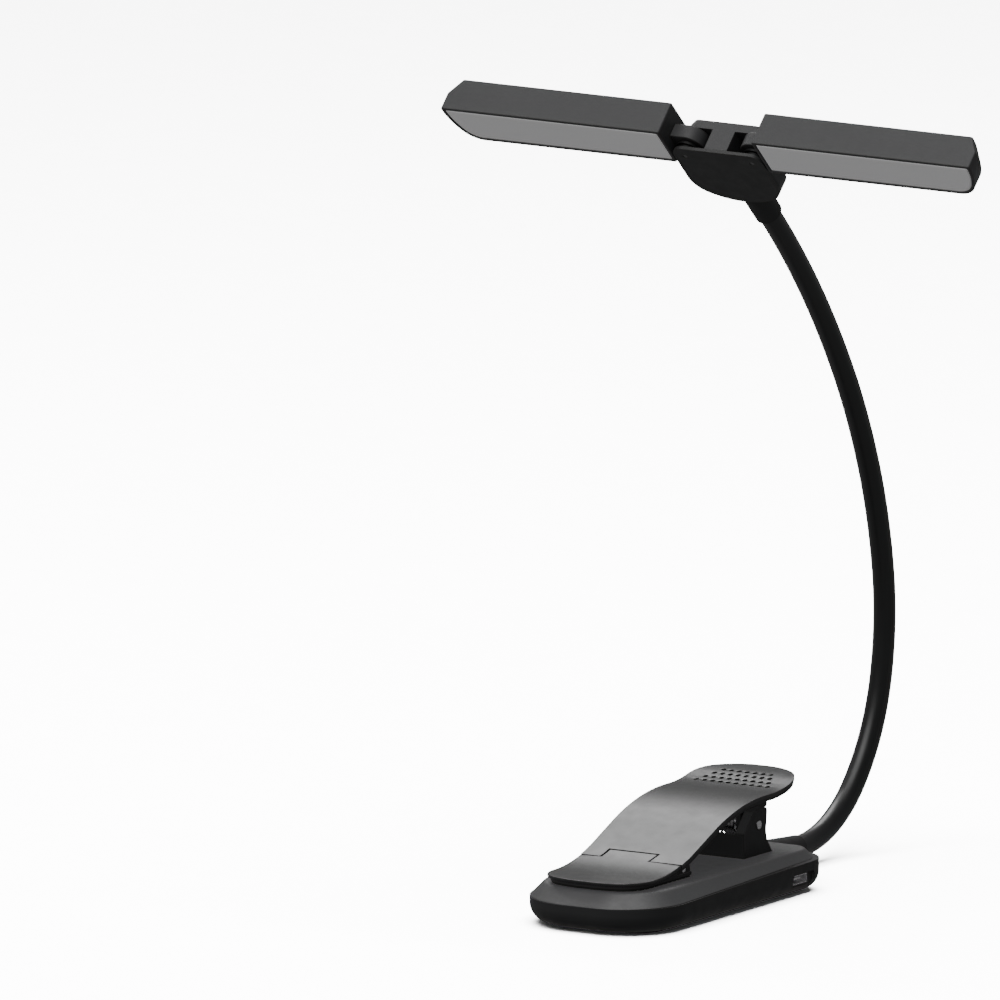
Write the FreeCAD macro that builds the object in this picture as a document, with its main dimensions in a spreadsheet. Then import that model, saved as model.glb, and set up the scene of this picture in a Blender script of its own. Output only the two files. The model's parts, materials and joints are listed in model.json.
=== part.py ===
"""Clip-on reading lamp: base with a spring clip, gooseneck, hub and two folding light bars.

Frame: X across the lamp, Y from the front of the base to its rear, Z up, millimetres.
The origin is the centre of the base's underside. The light bars are drawn opened.
"""
import FreeCAD
import Part
import Sketcher
import math
import os
from FreeCAD import Placement, Rotation, Vector

DIMENSIONS = {
    # base
    "base_width": 60.4,
    "base_length": 123.2,
    "base_height": 15.0,
    "front_corner": 24.0,
    "rear_corner": 13.0,
    "band_front": 9.6,
    "band_rear": 11.9,
    "side_inset": 5.2,
    "front_inset": 6.5,
    "rear_inset": 5.0,
    "bottom_round": 6.5,
    "tray_wall": 3.2,
    "shell_floor": 1.8,
    "pad_height": 0.8,
    # clip
    "tower_half_width": 17.2,
    "tower_front": 23.0,
    "tower_rear": 41.8,
    "tower_wall": 3.6,
    "pivot_along": 32.8,
    "pivot_up": 25.8,
    "pivot_pin_radius": 1.5,
    "pin_play": 0.06,
    "lever_width": 41.8,
    "lever_skin": 1.2,
    "frame_skin": 1.2,
    "web_rear": 46.3,
    "web_low": 29.8,
    "jaw_pin_along": -20.0,
    "jaw_pin_up": 18.4,
    "jaw_pin_radius": 1.2,
    "jaw_half_width": 19.6,
    "grip_hole": 0.95,
    "grip_pitch": 3.25,
    "grip_row": 3.43,
    "seam_side": -25.2,
    "seam_tongue": -19.7,
    "hook_out": 15.0,
    "spring_radius": 3.6,
    "spring_wire": 0.6,
    "spring_pitch": 1.3,
    "spring_inside": 4.2,
    # gooseneck
    "neck_along": 87.34,
    "neck_up": 7.5,
    "link_length": 40.45,
    "sheath_radius": 4.0,
    "sheath_bore": 3.15,
    "core_radius": 3.0,
    "cup_radius": 3.2,
    "sheath_gap": 0.6,
    # hub and light bars
    "hub_tilt": 45.3,
    "hub_along": 30.6,
    "hub_up": 265.2,
    "bar_depth": 13.1,
    "bar_width": 18.0,
    "bar_length": 90.0,
    "bar_end_radius": 28.0,
    "bar_corner": 9.0,
    "bevel_start": 6.8,
    "bevel_inset": 4.0,
    "hinge_out": 13.8,
    "hinge_down": 4.6,
    "hinge_pin_radius": 1.6,
    "lug_radius": 6.2,
    "lug_front": 4.0,
    "lug_back": 9.4,
    "hub_half_width": 18.5,
    "hub_depth": 29.8,
    "hub_corner": 10.0,
    "cover_thickness": 1.3,
    "sleeve_radius": 5.0,
}
LINK_TURNS = (46.0, 30.7, 21.3, 12.25, 10.15, 7.6, 7.3)

doc = FreeCAD.newDocument("reading_lamp")
sheet = doc.addObject("Spreadsheet::Sheet", "dims")
for row, (alias, value) in enumerate(DIMENSIONS.items(), start=1):
    sheet.set("A%d" % row, alias)
    sheet.set("B%d" % row, str(value))
    sheet.setAlias("B%d" % row, alias)
for number, turn in enumerate(LINK_TURNS, start=1):
    row = len(DIMENSIONS) + number
    sheet.set("A%d" % row, "link_turn_%d" % number)
    sheet.set("B%d" % row, str(turn))
    sheet.setAlias("B%d" % row, "link_turn_%d" % number)
doc.recompute()

PIECES = []


def dim(alias):
    """Value of one driving dimension."""
    return float(sheet.get(alias))


def piece(item, name):
    """Name a finished sub-part and list it for export."""
    item.Label = name
    PIECES.append(item)
    return item


# ---------------------------------------------------------------- primitives
def primitive(kind, name, sizes, place=(0, 0, 0), turn=None):
    """Part primitive with sizes and position bound to the sheet where they are expressions."""
    item = doc.addObject("Part::" + kind, name)
    if turn:
        item.Placement = Placement(Vector(), Rotation(Vector(*turn[0]), turn[1]))
    for prop, size in sizes.items():
        if isinstance(size, str):
            item.setExpression(prop, size)
        else:
            setattr(item, prop, size)
    for axis, where in zip("xyz", place):
        item.setExpression("Placement.Base." + axis, str(where))
    return item


def box(name, size, corner):
    """Box given by three sizes and its lowest corner."""
    return primitive("Box", name, dict(zip(("Length", "Width", "Height"), size)), corner)


def rod(name, radius, length, start, along="z"):
    """Cylinder starting at a point and running along +x, +y or +z."""
    turn = {"x": ((0, 1, 0), 90), "y": ((1, 0, 0), -90), "z": None}[along]
    return primitive("Cylinder", name, {"Radius": radius, "Height": length}, start, turn)


def fuse(name, *items):
    """Union of several objects."""
    item = doc.addObject("Part::MultiFuse", name)
    item.Shapes = list(items)
    return item


def group(name, *items):
    """Separate identical solids kept together."""
    item = doc.addObject("Part::Compound", name)
    item.Links = list(items)
    return item


def cut(name, base, *tools):
    """Base with one or more tools removed."""
    item = doc.addObject("Part::Cut", name)
    item.Base = base
    item.Tool = tools[0] if len(tools) == 1 else fuse(name + "_tools", *tools)
    return item


# ---------------------------------------------------------------- sketched bodies
def arc(centre, radius, start, end):
    """Arc by centre, radius and two angles in degrees, counter-clockwise or not."""
    spots = []
    for angle in (start, 0.5 * (start + end), end):
        turn = math.radians(angle)
        spots.append(Vector(centre[0] + radius * math.cos(turn), centre[1] + radius * math.sin(turn), 0))
    return Part.Arc(*spots)


def rounded(corners):
    """Closed outline through (x, y, radius) corners: straight edges joined by tangent arcs."""
    curves = []
    last = None
    first = None
    count = len(corners)
    for index in range(count):
        here = Vector(corners[index][0], corners[index][1], 0)
        back = Vector(*corners[index - 1][:2], 0) - here
        ahead = Vector(*corners[(index + 1) % count][:2], 0) - here
        back.normalize()
        ahead.normalize()
        radius = corners[index][2]
        if radius <= 0:
            start = end = here
        else:
            half = 0.5 * back.getAngle(ahead)
            start = here + back * (radius / math.tan(half))
            end = here + ahead * (radius / math.tan(half))
            middle = back + ahead
            middle.normalize()
            centre = here + middle * (radius / math.sin(half))
            mid = centre - middle * radius
        if last is not None and last.distanceToPoint(start) > 1e-6:
            curves.append(Part.LineSegment(last, start))
        if first is None:
            first = start
        if radius > 0:
            curves.append(Part.Arc(start, mid, end))
        last = end
    if last.distanceToPoint(first) > 1e-6:
        curves.append(Part.LineSegment(last, first))
    return curves


def rectangle(left, bottom, right, top, radius=0.0):
    """Rectangle outline, with rounded corners if a radius is given."""
    return rounded([(left, bottom, radius), (right, bottom, radius), (right, top, radius),
                    (left, top, radius)])


def circle(x, y, radius):
    """Circle outline."""
    return [Part.Circle(Vector(x, y, 0), Vector(0, 0, 1), radius)]


def new_body(name):
    """PartDesign body listed as a sub-part."""
    return piece(doc.addObject("PartDesign::Body", name), name)


def sketch(body, role, curves, offset=0):
    """Sketch on one of the body's origin planes, moved along its normal by an offset expression."""
    item = body.newObject("Sketcher::SketchObject", body.Name + "_sketch")
    plane = [feature for feature in body.Origin.OriginFeatures if feature.Role == role][0]
    item.AttachmentSupport = [(plane, "")]
    item.MapMode = "FlatFace"
    item.setExpression("AttachmentOffset.Base.z", str(offset))
    item.addGeometry(curves, False)
    if len(curves) > 1:
        for index in range(len(curves)):
            link_ends(item, index, (index + 1) % len(curves))
    return item


def link_ends(item, one, two):
    """Coincidence constraint between whichever ends of two neighbouring curves meet."""
    for end_one in (1, 2):
        for end_two in (1, 2):
            if item.getPoint(one, end_one).distanceToPoint(item.getPoint(two, end_two)) < 1e-5:
                item.addConstraint(Sketcher.Constraint("Coincident", one, end_one, two, end_two))
                return


def feature(body, kind, profile, length, reverse=False, midplane=False):
    """Pad or Pocket of a sketch with its length bound to the sheet; it must change the volume."""
    doc.recompute()
    before = body.Shape.Volume if body.Tip else 0.0
    item = body.newObject("PartDesign::" + kind, body.Name + "_" + kind.lower())
    item.Profile = profile
    item.setExpression("Length", str(length))
    item.Reversed = reverse
    item.Midplane = midplane
    doc.recompute()
    after = body.Shape.Volume
    grew = after > before + 1e-3
    shrank = after < before - 1e-3
    if not (grew if kind == "Pad" else shrank):
        raise RuntimeError("%s changed nothing in %s" % (kind, body.Name))
    return item


def pad(body, profile, length, **options):
    """Pad a sketch."""
    return feature(body, "Pad", profile, length, **options)


def pocket(body, profile, length, **options):
    """Pocket a sketch."""
    return feature(body, "Pocket", profile, length, **options)


def loft(body, lower, upper, kind="AdditiveLoft"):
    """Ruled loft between two sketches."""
    item = body.newObject("PartDesign::" + kind, body.Name + "_loft")
    item.Profile = lower
    item.Sections = [upper]
    item.Ruled = True
    doc.recompute()
    return item


def edges_where(body, test):
    """Names of the body's edges whose middle point passes a test."""
    names = []
    for index, edge in enumerate(body.Shape.Edges, start=1):
        middle = edge.valueAt(0.5 * (edge.FirstParameter + edge.LastParameter))
        if test(edge, middle):
            names.append("Edge%d" % index)
    return names


def round_edges(body, test, radius):
    """Fillet the edges picked by a test."""
    doc.recompute()
    names = edges_where(body, test)
    sharp = body.Tip
    item = body.newObject("PartDesign::Fillet", body.Name + "_fillet")
    item.Base = (sharp, names)
    item.setExpression("Radius", str(radius))
    doc.recompute()
    return item


def revolved(name, profile, role="YZ_Plane", axis="H_Axis"):
    """Body made by revolving a sketch outline about one of its own axes."""
    body = new_body(name)
    outline = sketch(body, role, profile)
    item = body.newObject("PartDesign::Revolution", name + "_revolution")
    item.Profile = outline
    item.ReferenceAxis = (outline, [axis])
    item.Angle = 360
    doc.recompute()
    return body


# ---------------------------------------------------------------- base
def base_outline(inset=0.0, front=0.0, side=0.0, rear=0.0):
    """Plan outline of the base, moved in all round by inset and further at front, side and rear."""
    half = dim("base_width") / 2 - inset - side
    low = -dim("base_length") / 2 + inset + front
    high = dim("base_length") / 2 - inset - rear
    big = dim("front_corner") - inset - max(front, side)
    small = dim("rear_corner") - inset - max(rear, side)
    return rounded([(-half, low, big), (half, low, big), (half, high, small), (-half, high, small)])


def seam_side(lift, edge):
    """Side view of everything between the sloping seam of the shells, lifted a little, and a level edge."""
    reach = dim("base_length")
    slope = (dim("band_rear") - dim("band_front")) / reach
    middle = 0.5 * (dim("band_rear") + dim("band_front")) + lift
    low = middle - slope * reach
    high = middle + slope * reach
    return rounded([(-reach, edge, 0), (reach, edge, 0), (reach, high, 0), (-reach, low, 0)])


def screw_spots():
    """Places of the four housing screws."""
    return [(side * out, along) for side in (-1, 1) for out, along in ((20.5, -40.0), (16.0, 52.5))]


def make_lower_shell():
    """Open tray with a tucked-in lower edge, screw posts and holes for the inlet and the collar."""
    body = new_body("base_lower_shell")
    foot = "dims.pad_height"
    pad(body, sketch(body, "XY_Plane", base_outline(), foot), "dims.band_rear + 1 - dims.pad_height")
    floor = dim("pad_height")
    round_edges(body, lambda edge, mid: abs(mid.z - floor) < 1e-4, "dims.bottom_round")
    inside = base_outline(dim("tray_wall"))
    cavity = sketch(body, "XY_Plane", inside, "dims.pad_height + dims.shell_floor + 30")
    pocket(body, cavity, "30")
    for x, y in screw_spots():
        post = sketch(body, "XY_Plane", circle(x, y, 3.2), foot)
        pad(body, post, "dims.band_front - dims.pad_height - 0.2")
        pocket(body, sketch(body, "XY_Plane", circle(x, y, 1.3), "30"), "40")
        pocket(body, sketch(body, "XY_Plane", circle(x, y, 2.6), "dims.pad_height + 1.4"), "5")
    above = sketch(body, "YZ_Plane", seam_side(0.0, 60))
    pocket(body, above, "200", midplane=True)
    inlet = rectangle(35.1, 3.8, 49.4, 8.4, 1.6)
    pocket(body, sketch(body, "YZ_Plane", inlet, "dims.base_width / 2 + 5"), "5 + 1.2")
    port = rectangle(36.6, 4.4, 46.3, 7.8, 0.1)
    pocket(body, sketch(body, "YZ_Plane", port, "dims.base_width / 2 + 5"), "5 + 6")
    rear_hole = circle(0, dim("neck_up"), dim("core_radius") + 0.05)
    pocket(body, sketch(body, "XZ_Plane", rear_hole, "-dims.base_length / 2 - 5"), "12", reverse=True)
    return body


def make_upper_shell():
    """Cover with a wide bevel running round its flat top; the bevel's lower edge rises to the rear."""
    body = new_body("base_upper_shell")
    start = sketch(body, "XY_Plane", base_outline(), "dims.band_front - 2")
    pad(body, start, "2.0")
    lower = sketch(body, "XY_Plane", base_outline(), "dims.band_front")
    top = base_outline(0.0, dim("front_inset"), dim("side_inset"), dim("rear_inset"))
    upper = sketch(body, "XY_Plane", top, "dims.base_height")
    loft(body, lower, upper)
    low = sketch(body, "YZ_Plane", seam_side(0.02, -5))
    pocket(body, low, "200", midplane=True)
    inner = base_outline(2.2, dim("front_inset"), dim("side_inset"), dim("rear_inset"))
    hollow = sketch(body, "XY_Plane", inner, "-5")
    pocket(body, hollow, "dims.base_height + 5 - 1.6", reverse=True)
    half = dim("tower_half_width") + 0.1
    slot = rectangle(-half, dim("tower_front") - 0.1, half, dim("tower_rear") + 0.1)
    pocket(body, sketch(body, "XY_Plane", slot, "30"), "30")
    for x, y in screw_spots():
        height = "dims.base_height - dims.band_front - 0.5"
        pad(body, sketch(body, "XY_Plane", circle(x, y, 2.6), "dims.band_front"), height)
        pocket(body, sketch(body, "XY_Plane", circle(x, y, 0.9), "0"), "dims.base_height - 3", reverse=True)
    return body


def make_tower():
    """Black bracket that stands through the cover and carries the clip pivot between two cheeks."""
    body = new_body("clip_tower")
    half = dim("tower_half_width")
    front = dim("tower_front")
    rear = dim("tower_rear")
    along = dim("pivot_along")
    up = dim("pivot_up")
    side = rounded([
        (front, 5.0, 0), (rear, 5.0, 0), (rear, 15.0, 0), (rear - 4.8, 21.5, 9.0), (rear - 3.8, 25.4, 12.0),
        (rear - 3.1, 31.6, 1.5), (front + 6.2, 31.0, 2.0), (front, 24.0, 1.5)])
    pad(body, sketch(body, "YZ_Plane", side), "2 * dims.tower_half_width", midplane=True)
    wall = dim("tower_wall")
    inside = rectangle(-half + wall, front + 2.2, half - wall, rear - 7.2, 0.6)
    pocket(body, sketch(body, "XY_Plane", inside, "60"), "60 - 7")
    window = rectangle(-half + wall, 23.4, half - wall, 40.0)
    pocket(body, sketch(body, "XZ_Plane", window, "0"), "60", reverse=False)
    rear_window = rectangle(-half + wall, 19.6, half - wall, 40.0)
    pocket(body, sketch(body, "XZ_Plane", rear_window, "-60"), "60 - dims.pivot_along", reverse=True)
    bore = circle(along, up, dim("pivot_pin_radius"))
    pocket(body, sketch(body, "YZ_Plane", bore, "0"), "80", midplane=True)
    for side in (-1, 1):
        flange = rectangle(side * 10.0 - 4.0, front + 1.0, side * 10.0 + 4.0, rear - 1.0)
        pad(body, sketch(body, "XY_Plane", flange, "dims.pad_height + dims.shell_floor"), "3.6")
    return body


def make_base_details():
    """Screws, feet, battery, charge board, inlet, ballast and the pivot pin of the base."""
    screws = []
    for index, (x, y) in enumerate(screw_spots()):
        head = rod("screw_head_%d" % index, 2.3, 1.2, (x, y, "dims.pad_height + 1.0 - 0.9"))
        shank = rod("screw_shank_%d" % index, 0.85, 9.0, (x, y, "dims.pad_height + 1.2"))
        screws.append(fuse("housing_screw_%d" % index, head, shank))
    piece(group("base_screws", *screws), "base_screws")
    pad_sheet = new_body("base_pad")
    foot = rectangle(-22.0, -50.0, 22.0, 52.0, 10.0)
    pad(pad_sheet, sketch(pad_sheet, "XY_Plane", foot), "dims.pad_height")
    floor = "dims.pad_height + dims.shell_floor"
    piece(box("battery", (34.0, 50.0, 6.0), (-17.0, -32.0, floor)), "battery")
    piece(box("ballast_plate", (30.0, 12.0, 5.0), (-15.0, -50.0, floor)), "ballast_plate")
    board = box("board_blank", (11.0, 17.0, 1.2), ("dims.base_width / 2 - 14.4", 32.0, floor + " + 0.3"))
    piece(board, "charge_board")
    chips = [box("chip_large", (4.0, 4.0, 1.0), ("dims.base_width / 2 - 12.6", 33.0, floor + " + 1.5")),
             box("chip_small", (2.0, 3.0, 0.8), ("dims.base_width / 2 - 12.6", 38.5, floor + " + 1.5")),
             box("chip_coil", (3.0, 3.0, 1.6), ("dims.base_width / 2 - 12.6", 44.0, floor + " + 1.5"))]
    piece(group("charge_chips", *chips), "charge_chips")
    leads = [rod("lead_%d" % index, 0.6, 21.6, (18.2 + 1.7 * index, 10.2, 3.8), "y") for index in range(2)]
    piece(group("power_leads", *leads), "power_leads")
    socket = box("socket_outside", (5.4, 9.5, 3.2), ("dims.base_width / 2 - 1.3 - 5.4", 36.7, 4.5))
    mouth = box("socket_mouth", (5.4, 8.9, 2.6), ("dims.base_width / 2 - 0.9 - 5.4", 37.0, 4.8))
    tongue = box("socket_tongue", (3.6, 6.7, 0.7), ("dims.base_width / 2 - 6.5", 38.1, 5.75))
    piece(fuse("usb_inlet", cut("socket_shell", socket, mouth), tongue), "usb_inlet")
    span = "2 * dims.tower_half_width + 0.6"
    start = ("-dims.tower_half_width - 0.3", "dims.pivot_along", "dims.pivot_up")
    pin = rod("clip_pivot_pin", "dims.pivot_pin_radius", span, start, "x")
    piece(pin, "clip_pivot_pin")


def make_coil(side):
    """Wound half of the torsion spring: a wire swept along a helix round the pivot axis."""
    line = doc.addObject("Part::Helix", "spring_line_%d" % side)
    line.setExpression("Radius", "dims.spring_radius")
    line.setExpression("Pitch", "dims.spring_pitch")
    line.setExpression("Height", "dims.spring_pitch * 4")
    section = doc.addObject("Part::Circle", "spring_section_%d" % side)
    section.setExpression("Radius", "dims.spring_wire")
    section.setExpression("Placement.Base.x", "dims.spring_radius")
    section.Placement.Rotation = Rotation(Vector(1, 0, 0), 90)
    coil = doc.addObject("Part::Sweep", "spring_coil_%d" % side)
    coil.Sections = [section]
    coil.Spine = (line, [])
    coil.Solid = True
    coil.Frenet = True
    turned = Rotation(Vector(0, 0, 1), Vector(0, -1, 0), Vector(side, 0, 0), "ZYX")
    start = Vector(side * dim("spring_inside"), dim("pivot_along"), dim("pivot_up"))
    coil.Placement = Placement(start, turned)
    return coil


def make_spring():
    """Torsion spring round the pivot pin: two coils joined by legs and a bridge, and two upper arms."""
    wires = []
    for side in (-1, 1):
        wires.append(make_coil(side))
        start = ("%d * dims.spring_inside" % side, "dims.pivot_along - dims.spring_radius",
                 "dims.pivot_up - 11.6")
        wires.append(rod("spring_leg_%d" % side, "dims.spring_wire * 0.8", 12.1, start))
    bridge = rod("spring_bridge", "dims.spring_wire * 0.7", "2 * dims.spring_inside",
                 ("-dims.spring_inside", "dims.pivot_along - dims.spring_radius", "dims.pivot_up - 11"), "x")
    piece(fuse("clip_spring", bridge, *wires), "clip_spring")
    arms = [rod("spring_arm_%d" % side, "dims.spring_wire", 5.4,
                ("%d * 8.55" % side, "dims.pivot_along + dims.spring_radius", 29.1)) for side in (-1, 1)]
    piece(group("clip_spring_arms", *arms), "clip_spring_arms")


# ---------------------------------------------------------------- clip lever and jaw
def lever_line():
    """Side view points of the lever's upper surface, front to rear, with bend radii."""
    return [(-57.5, 18.3, 0), (-29.7, 18.3, 70), (13.4, 36.9, 90), (41.0, 36.9, 50), (54.0, 40.0, 50),
            (64.0, 40.6, 0)]


def offset_line(points, drop):
    """The lever line moved square to itself by a drop below the upper surface."""
    headings = [math.atan2(z1 - z0, y1 - y0) for (y0, z0, _), (y1, z1, _) in zip(points, points[1:])]
    shifted = []
    for (y, z, radius), one, two in zip(points, headings[:1] + headings, headings + headings[-1:]):
        middle = 0.5 * (one + two)
        reach = drop / math.cos(0.5 * (two - one))
        bend = radius - drop if two < one else radius + drop
        shifted.append((y + reach * math.sin(middle), z - reach * math.cos(middle), bend if radius else 0))
    return shifted


def lever_band(top_drop, bottom_drop):
    """Closed side view of the layer between two depths under the lever's upper surface."""
    top = offset_line(lever_line(), top_drop)
    bottom = offset_line(lever_line(), bottom_drop)
    return rounded(top + bottom[::-1])


def lever_plan(inset, front=-57.2, rear=63.8):
    """Plan view of the lever: bowed front with round corners and a very round finger tab."""
    half = dim("lever_width") / 2 - inset
    low = front + inset
    high = rear - inset
    return [(-half, low + 4, 12 - inset), (-half * 0.35, low, 30), (half * 0.35, low, 30),
            (half, low + 4, 12 - inset), (half, high - 7, 17 - inset), (half * 0.3, high, 20),
            (-half * 0.3, high, 20), (-half, high - 7, 17 - inset)]


def trim_to_plan(body, plan):
    """Keep only what lies inside a plan outline, by a pocket of the surrounding frame."""
    around = rectangle(-60, -120, 60, 120)
    frame = sketch(body, "XY_Plane", around + rounded(plan), "100")
    return pocket(body, frame, "150")


def joint_line(lag):
    """Stepped seam between lever plate and jaw cap, with a tongue towards the rear; lag widens the gap."""
    side = dim("seam_side") + lag
    tongue = dim("seam_tongue") + lag
    apart = 1.6 * lag
    return [(-30, side, 0), (-12.6 - apart, side, 0), (-12.2 - apart, tongue, 0), (8.3 + apart, tongue, 0),
            (7.4 + apart, side, 0), (30, side, 0)]


def cut_at_seam(body, lag, beyond):
    """Remove what lies on one side of the seam, out to a line beyond it."""
    outline = rounded(joint_line(lag) + [(30, beyond, 0), (-30, beyond, 0)])
    return pocket(body, sketch(body, "XY_Plane", outline, "100"), "150")


def make_lever_plate():
    """Long S-shaped finger plate behind the seam, with staggered rows of grip holes in its rear tab."""
    body = new_body("lever_plate")
    layer = lever_band(0.0, dim("lever_skin"))
    pad(body, sketch(body, "YZ_Plane", layer), "dims.lever_width + 4", midplane=True)
    trim_to_plan(body, lever_plan(0.0))
    cut_at_seam(body, 0.2, -90)
    for row in range(4):
        count = 10 - row
        y = 42.9 + row * dim("grip_row")
        for index in range(count):
            x = (index - (count - 1) / 2) * dim("grip_pitch")
            pocket(body, sketch(body, "XY_Plane", circle(x, y, dim("grip_hole")), "60"), "60 - 33")
    return body


def make_jaw_cap():
    """Front end of the clip's upper plate, in front of the stepped seam."""
    body = new_body("jaw_cap")
    layer = lever_band(0.0, dim("lever_skin"))
    pad(body, sketch(body, "YZ_Plane", layer), "dims.lever_width + 4", midplane=True)
    trim_to_plan(body, lever_plan(0.0))
    cut_at_seam(body, -0.2, 120)
    return body


def make_lever_frame():
    """Black frame under the plate: a skin, pivot ears with a web to the rear, and ears for the jaw pin."""
    body = new_body("lever_frame")
    top = dim("lever_skin")
    layer = lever_band(top, top + dim("frame_skin"))
    pad(body, sketch(body, "YZ_Plane", layer), "dims.lever_width + 4", midplane=True)
    trim_to_plan(body, lever_plan(0.25))
    cut_at_seam(body, 0.6, -90)
    for side in (-1, 1):
        over_cheek = rectangle(side * 17.55 - 1.65, -30.0, side * 17.55 + 1.65, -16.8)
        pocket(body, sketch(body, "XY_Plane", over_cheek, "100"), "150")
    along = dim("pivot_along")
    up = dim("pivot_up")
    ear = rounded([(along - 4.4, up - 4.4, 4.3), (along + 4.4, up - 4.4, 4.3),
                   (along + 4.4, dim("web_low"), 1.0), (dim("web_rear"), dim("web_low"), 1.0),
                   (dim("web_rear"), 36.0, 0), (along - 4.4, 36.0, 0)])
    jaw_y = dim("jaw_pin_along")
    jaw_z = dim("jaw_pin_up")
    hook = rounded([(jaw_y - 1.9, jaw_z - 1.8, 1.7), (jaw_y + 1.9, jaw_z - 1.8, 1.7), (jaw_y + 1.9, 22.0, 0),
                    (jaw_y - 1.9, 20.6, 0)])
    for side in (-1, 1):
        offset = "%d * 11.4 - 1.0" % side
        pad(body, sketch(body, "YZ_Plane", ear, offset), "2.0")
        offset = "%d * dims.hook_out - 1.2" % side
        pad(body, sketch(body, "YZ_Plane", hook, offset), "2.4")
    bore = circle(along, up, dim("pivot_pin_radius") + dim("pin_play"))
    pocket(body, sketch(body, "YZ_Plane", bore, "0"), "60", midplane=True)
    small = circle(jaw_y, jaw_z, dim("jaw_pin_radius"))
    pocket(body, sketch(body, "YZ_Plane", small, "0"), "60", midplane=True)
    over = rounded(offset_line(lever_line(), top) + [(64.0, 80.0, 0), (-57.5, 80.0, 0)])
    pocket(body, sketch(body, "YZ_Plane", over), "200", midplane=True)
    return body


def make_jaw():
    """Swivelling jaw: black carrier on its pin, a rearward tongue, and a ribbed rubber pad."""
    pin_y = dim("jaw_pin_along")
    pin_z = dim("jaw_pin_up")
    span = "2 * dims.jaw_half_width - 2.0"
    pin = rod("jaw_pin", "dims.jaw_pin_radius", span,
              ("-dims.jaw_half_width + 1.0", "dims.jaw_pin_along", "dims.jaw_pin_up"), "x")
    piece(pin, "jaw_pin")
    body = new_body("jaw_carrier")
    half = dim("jaw_half_width")
    floor = dim("base_height") + 1.1
    under = rounded(offset_line(lever_line(), dim("lever_skin")) + [(64.0, floor, 0), (-57.5, floor, 0)])
    pad(body, sketch(body, "YZ_Plane", under), "dims.lever_width", midplane=True)
    trim_to_plan(body, jaw_plan(0.0))
    rear = rectangle(dim("seam_side") - 0.8, floor + 1.0, 90.0, 80.0)
    pocket(body, sketch(body, "YZ_Plane", rear), "200", midplane=True)
    cheek = rounded([(-30.0, floor, 0), (-15.2, floor, 0), (-16.2, 20.3, 1.6), (-21.9, 19.7, 1.6)])
    for side in (-1, 1):
        offset = "%d * 17.5 - 1.0" % side
        pad(body, sketch(body, "YZ_Plane", cheek, offset), "2.0")
        hook = side * dim("hook_out")
        gap = rectangle(hook - 1.5, pin_y - 4.0, hook + 1.5, pin_y + 3.6)
        pocket(body, sketch(body, "XY_Plane", gap, "60"), "60")
    bore = circle(pin_y, pin_z, dim("jaw_pin_radius") + dim("pin_play"))
    pocket(body, sketch(body, "YZ_Plane", bore, "0"), "60", midplane=True)
    rubber = new_body("jaw_rubber")
    pad(rubber, sketch(rubber, "XY_Plane", rounded(jaw_plan(0.4)), "dims.base_height + 0.3"), "0.8")
    for index in range(11):
        y = -50.0 + index * 3.0
        groove = rectangle(-half - 2, y, half + 2, y + 1.0)
        pocket(rubber, sketch(rubber, "XY_Plane", groove, "dims.base_height + 0.3 - 1"), "1.4", reverse=True)


def jaw_plan(inset):
    """Plan view of the jaw: the lever's bowed front end, cut off square behind the jaw pin."""
    half = dim("jaw_half_width") - inset
    low = -56.3 + inset
    high = -15.4 - inset
    return [(-half, low + 3.6, 11 - inset), (-half * 0.35, low, 30), (half * 0.35, low, 30),
            (half, low + 3.6, 11 - inset), (half, high, 1.5), (-half, high, 1.5)]


# ---------------------------------------------------------------- gooseneck
def chain():
    """Start, heading and bend radius of every link, walked along tangent arcs."""
    y = dim("neck_along")
    z = dim("neck_up")
    heading = 0.0
    stops = []
    for number in range(1, len(LINK_TURNS) + 1):
        turn = math.radians(dim("link_turn_%d" % number))
        radius = dim("link_length") / turn
        stops.append((y, z, heading, radius, turn))
        y += radius * (math.sin(heading + turn) - math.sin(heading))
        z += radius * (math.cos(heading) - math.cos(heading + turn))
        heading += turn
    stops.append((y, z, heading, 0.0, 0.0))
    return stops


def make_bend(name, number, tube, start_gap, end_gap):
    """Torus stretch of one link, from its start to its end less the two gaps, in degrees."""
    y, z, heading, radius, turn = chain()[number - 1]
    item = doc.addObject("Part::Torus", name)
    turn_cell = "dims.link_turn_%d" % number
    item.setExpression("Radius1", "dims.link_length / (%s * pi / 180)" % turn_cell)
    item.setExpression("Radius2", tube)
    item.setExpression("Angle3", "%s - %.6f - %.6f" % (turn_cell, start_gap, end_gap))
    centre = Vector(0, y - radius * math.sin(heading), z + radius * math.cos(heading))
    to_start = Vector(0, math.sin(heading), -math.cos(heading))
    ahead = Vector(0, math.cos(heading), math.sin(heading))
    upright = Rotation(to_start, ahead, Vector(1, 0, 0), "XYZ")
    item.Placement = Placement(centre, upright * Rotation(Vector(0, 0, 1), start_gap))
    return item


def ball(name, number, radius):
    """Sphere centred on the joint before a link (number counts from 1)."""
    y, z = chain()[number - 1][:2]
    return primitive("Sphere", name, {"Radius": radius}, (0, "%.6f" % y, "%.6f" % z))


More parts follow.
